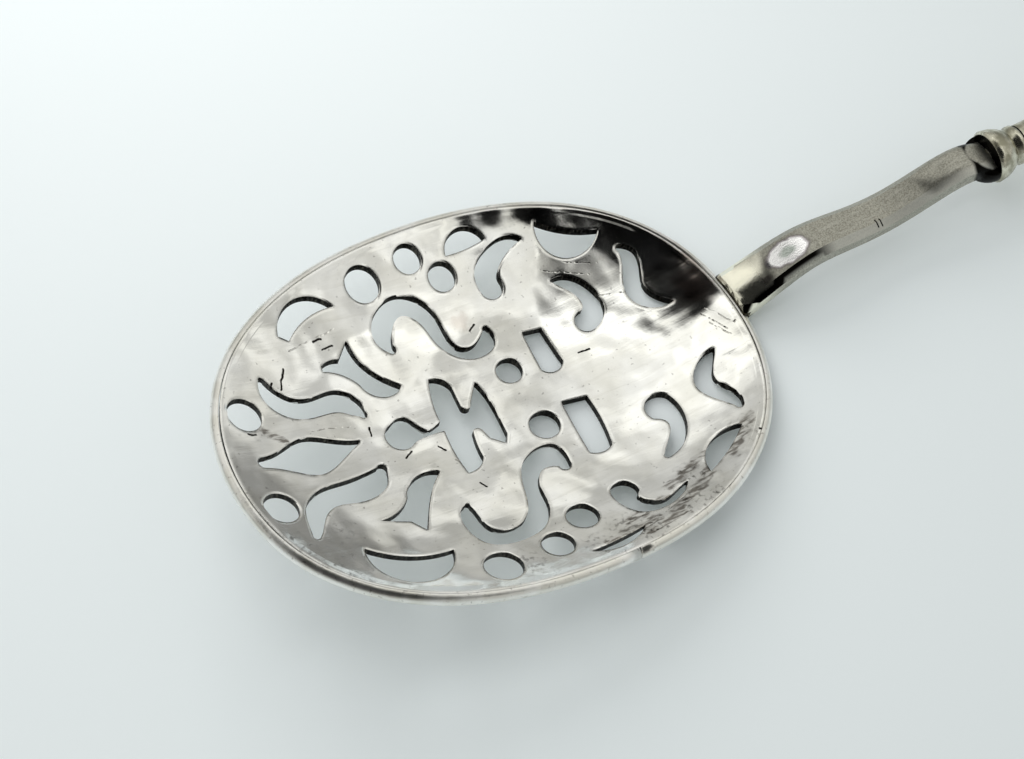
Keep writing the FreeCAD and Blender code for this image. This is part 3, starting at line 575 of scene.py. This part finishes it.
def make_camera():
    """The camera that took the photograph."""
    data = bpy.data.cameras.new("camera")
    data.sensor_width = SENSOR_WIDTH
    data.lens = FOCAL_PIXELS * SENSOR_WIDTH / FRAME_WIDTH
    data.clip_start = CLIP_START * MM
    data.clip_end = CLIP_END * MM
    camera = bpy.data.objects.new("camera", data)
    place = Vector(CAMERA_PLACE) * MM
    turn = (Vector(CAMERA_AIM) * MM - place).to_track_quat("-Z", "Y").to_matrix()
    turn = turn @ Matrix.Rotation(math.radians(CAMERA_ROLL), 3, "Z")
    camera.matrix_world = Matrix.Translation(place) @ turn.to_4x4()
    bpy.context.scene.collection.objects.link(camera)
    bpy.context.scene.camera = camera


# The table and its lamps, in metres: half the table's side, then each lamp's size, place and
# the way it shines.
TABLE_HALF = 0.6
OVERHEAD = (0.08, (-0.075, 0.014, 0.118), (0, 0, -1))
WINDOW = (0.06, (-0.05, 0.07, 0.055), (0, -0.07, -0.055))


def make_table():
    """A pale table top that takes the spoon's shadow."""
    mesh = bpy.data.meshes.new("table")
    form = bmesh.new()
    bmesh.ops.create_grid(form, x_segments=1, y_segments=1, size=TABLE_HALF)
    form.to_mesh(mesh)
    form.free()
    table = bpy.data.objects.new("table", mesh)
    bpy.context.scene.collection.objects.link(table)
    material = new_material("matt white card")
    tree = material.node_tree
    card = add_node(tree, "ShaderNodeBsdfDiffuse", values={"Color": linear("#F3F8F8")})
    add_node(tree, "ShaderNodeOutputMaterial", {"Surface": card.outputs[0]})
    mesh.materials.append(material)


# What the metal reflects: a bright cluttered room, two soft lamps, and the dark figure behind
# the camera. Each is a direction from the spoon, a reach in degrees, and what a lamp adds to
# the brightness or what share of it the figure leaves.
FIGURE = ((-0.4, -0.4, 0.82, 41, 0.008), (0.1, -0.6, 0.79, 20, 0.008), (-0.14, 0.1, 0.98, 17, 0.008),
          (0.06, -0.04, 1.0, 15, 0.35))
FIGURE_EDGE = 0.02
LAMPS = ((0.2, 0.36, 0.91, 24, 0.4), (0.52, -0.2, 0.83, 22, 0.3))
CLUTTER_SCALE = 3.4


def seen_towards(tree, way, x, y, z):
    """Cosine of the angle between the way seen and a direction."""
    return add_node(tree, "ShaderNodeVectorMath", {0: way}, {1: Vector((x, y, z)).normalized()},
                    operation="DOT_PRODUCT").outputs["Value"]


def seen_by_metal(tree):
    """Brightness of the room in each direction."""
    way = add_node(tree, "ShaderNodeTexCoord").outputs["Generated"]
    clutter = grain(tree, way, 1 / CLUTTER_SCALE)
    room = calc(tree, "MULTIPLY", slope(tree, axis(tree, way, "Z"), 0.0, 0.6, 0.36, 0.9),
                slope(tree, clutter, 0.35, 0.65, 0.64, 1.2))
    for x, y, z, reach, strength in LAMPS:
        edge = math.cos(math.radians(reach))
        room = calc(tree, "ADD", room, slope(tree, seen_towards(tree, way, x, y, z), edge, 1, 0, strength))
    for x, y, z, reach, left in FIGURE:
        edge = math.cos(math.radians(reach))
        shade = slope(tree, seen_towards(tree, way, x, y, z), edge - FIGURE_EDGE, edge + FIGURE_EDGE, 1, left)
        room = calc(tree, "MULTIPLY", room, shade)
    return room


def add_lamp(name, power, size, place, way):
    """A soft square lamp that the metal doesn't mirror."""
    data = bpy.data.lights.new(name, "AREA")
    data.energy = power
    data.size = size
    lamp = bpy.data.objects.new(name, data)
    turn = Vector(way).to_track_quat("-Z", "Y").to_matrix()
    lamp.matrix_world = Matrix.Translation(place) @ turn.to_4x4()
    lamp.visible_glossy = False
    bpy.context.scene.collection.objects.link(lamp)


def make_light(settings):
    """Even light for the table, the shaped room for what the metal mirrors, and two lamps."""
    world = bpy.data.worlds.new("studio")
    world.use_nodes = True
    tree = world.node_tree
    tree.nodes.clear()
    path = add_node(tree, "ShaderNodeLightPath")
    plain = add_node(tree, "ShaderNodeBackground",
                     values={"Color": linear("#F6FAFA"), "Strength": settings.surround})
    room = add_node(tree, "ShaderNodeBackground", {"Strength": seen_by_metal(tree)},
                    {"Color": linear("#FBFBF6")})
    mixed = add_node(tree, "ShaderNodeMixShader",
                     {"Fac": path.outputs["Is Glossy Ray"], 1: plain.outputs[0], 2: room.outputs[0]})
    add_node(tree, "ShaderNodeOutputWorld", {"Surface": mixed.outputs[0]})
    bpy.context.scene.world = world

    add_lamp("lamp overhead", settings.lamp, *OVERHEAD)
    add_lamp("window", settings.window, *WINDOW)


class SPOON_OT_stage(bpy.types.Operator):
    """Sets the table, the light and the camera"""
    bl_idname = "spoon.stage"
    bl_label = "Stage"

    def execute(self, context):
        make_camera()
        make_table()
        make_light(context.scene.spoon_stage)
        context.scene.view_settings.view_transform = "Standard"
        return {"FINISHED"}


class SPOON_PT_panel(bpy.types.Panel):
    """Lists the pieces and their settings"""
    bl_idname = "SPOON_PT_panel"
    bl_label = "Mote spoon"
    bl_space_type = "VIEW_3D"
    bl_region_type = "UI"
    bl_category = "Mote spoon"

    def draw(self, context):
        for operator in OPERATORS:
            self.layout.operator(operator.bl_idname)
        for group in SETTINGS:
            values = getattr(context.scene, group)
            for name in values.bl_rna.properties.keys():
                if name not in ("rna_type", "name"):
                    self.layout.prop(values, name)


OPERATORS = (SPOON_OT_bowl, SPOON_OT_wire, SPOON_OT_stem, SPOON_OT_shaft, SPOON_OT_stage)
SETTINGS = {"spoon_bowl": BowlSettings, "spoon_stem": StemSettings, "spoon_stage": StageSettings}
CLASSES = (*SETTINGS.values(), *OPERATORS, SPOON_PT_panel)


def register():
    for item in CLASSES:
        bpy.utils.register_class(item)
    for name, group in SETTINGS.items():
        setattr(bpy.types.Scene, name, PointerProperty(type=group))


def unregister():
    for name in SETTINGS:
        delattr(bpy.types.Scene, name)
    for item in reversed(CLASSES):
        bpy.utils.unregister_class(item)


def main():
    register()
    for operator in OPERATORS:
        getattr(bpy.ops.spoon, operator.bl_idname.split(".")[1])()


if __name__ == "__main__":
    main()
